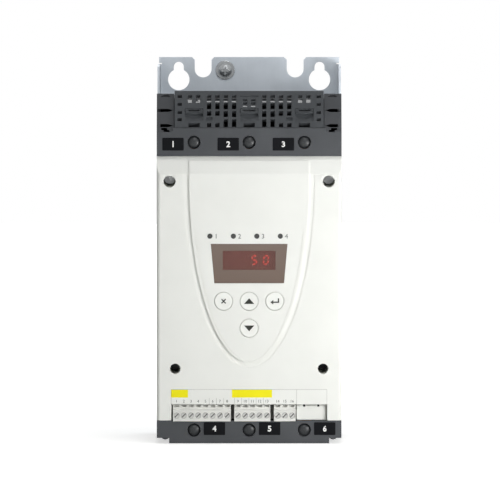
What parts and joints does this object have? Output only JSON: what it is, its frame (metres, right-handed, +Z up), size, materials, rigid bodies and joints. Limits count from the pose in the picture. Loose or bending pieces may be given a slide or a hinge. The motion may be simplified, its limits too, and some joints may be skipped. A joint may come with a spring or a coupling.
{
  "type": "soft starter",
  "caption": "Wall-mounted three-phase motor soft starter: white front with display and push keys, dark terminal shrouds with a sloped grille, and a folded sheet back plate with keyholes.",
  "frame": {"origin": "middle of the footprint, at the lowest edge", "axes": "+X right seen from the front, +Y towards the wall, +Z up"},
  "size_m": [0.13, 0.169, 0.265],
  "materials": {
    "zinc_sheet": "zinc-plated, satin",
    "extruded_aluminium": "mill finish",
    "dark_plastic": "fine moulded grain",
    "grille_plastic": "fine moulded grain",
    "white_plastic": "fine moulded grain",
    "key_plastic": "satin",
    "smoked_window": "polished, smoked",
    "display_face": "polished",
    "light_pipe": "polished",
    "steel_screw": "zinc-plated",
    "dark_steel": "blackened",
    "copper_bar": "bare copper",
    "brass_pillar": "turned",
    "circuit_board": "lacquered",
    "module_black": "moulded",
    "relay_blue": "moulded",
    "terminal_white": "moulded",
    "port_plastic": "moulded"
  },
  "bodies": {
    "unit": {"back_plate": "zinc_sheet", "plate_screws": "steel_screw", "heat_sink": "extruded_aluminium", "earth_screw": "steel_screw", "earth_washer": "steel_screw", "base_housing": "dark_plastic", "housing_screws": "steel_screw", "thyristor_module_1": "module_black", "thyristor_module_2": "module_black", "thyristor_module_3": "module_black", "module_screws": "steel_screw", "bypass_relay_1": "relay_blue", "bypass_relay_2": "relay_blue", "bypass_relay_3": "relay_blue", "current_transformer_1": "module_black", "current_transformer_2": "module_black", "current_transformer_3": "module_black", "line_busbars": "copper_bar", "load_busbars": "copper_bar", "busbar_screws": "steel_screw", "line_clamps": "steel_screw", "load_clamps": "steel_screw", "line_clamp_screws": "dark_steel", "load_clamp_screws": "dark_steel", "power_board": "circuit_board", "power_board_standoffs": "brass_pillar", "power_board_screws": "steel_screw", "upper_terminal_cover": "dark_plastic", "upper_grille": "grille_plastic", "lower_terminal_cover": "dark_plastic", "front_cover": "white_plastic", "upper_cover_screws": "steel_screw", "lower_cover_screws": "steel_screw", "control_board": "circuit_board", "control_board_screws": "steel_screw", "display_module": "display_face", "display_window": "smoked_window", "led_light_pipes": "light_pipe", "key_switches": "module_black", "control_terminal_8": "terminal_white", "control_terminal_5": "terminal_white", "control_terminal_3": "terminal_white", "control_terminal_screws": "steel_screw", "network_jack": "module_black", "port_cover": "port_plastic"},
    "escape_key": {"key_escape": "key_plastic"},
    "up_key": {"key_up": "key_plastic"},
    "enter_key": {"key_enter": "key_plastic"},
    "down_key": {"key_down": "key_plastic"}
  },
  "joints": [
    {"name": "escape_key_press", "type": "slide", "parent": "unit", "child": "escape_key", "axis": [0, 1, 0], "range_m": [0, 0.0008], "stiffness_N_per_m": 1500, "springref_m": -0.0003},
    {"name": "up_key_press", "type": "slide", "parent": "unit", "child": "up_key", "axis": [0, 1, 0], "range_m": [0, 0.0008], "stiffness_N_per_m": 1500, "springref_m": -0.0003},
    {"name": "enter_key_press", "type": "slide", "parent": "unit", "child": "enter_key", "axis": [0, 1, 0], "range_m": [0, 0.0008], "stiffness_N_per_m": 1500, "springref_m": -0.0003},
    {"name": "down_key_press", "type": "slide", "parent": "unit", "child": "down_key", "axis": [0, 1, 0], "range_m": [0, 0.0008], "stiffness_N_per_m": 1500, "springref_m": -0.0003}
  ]
}
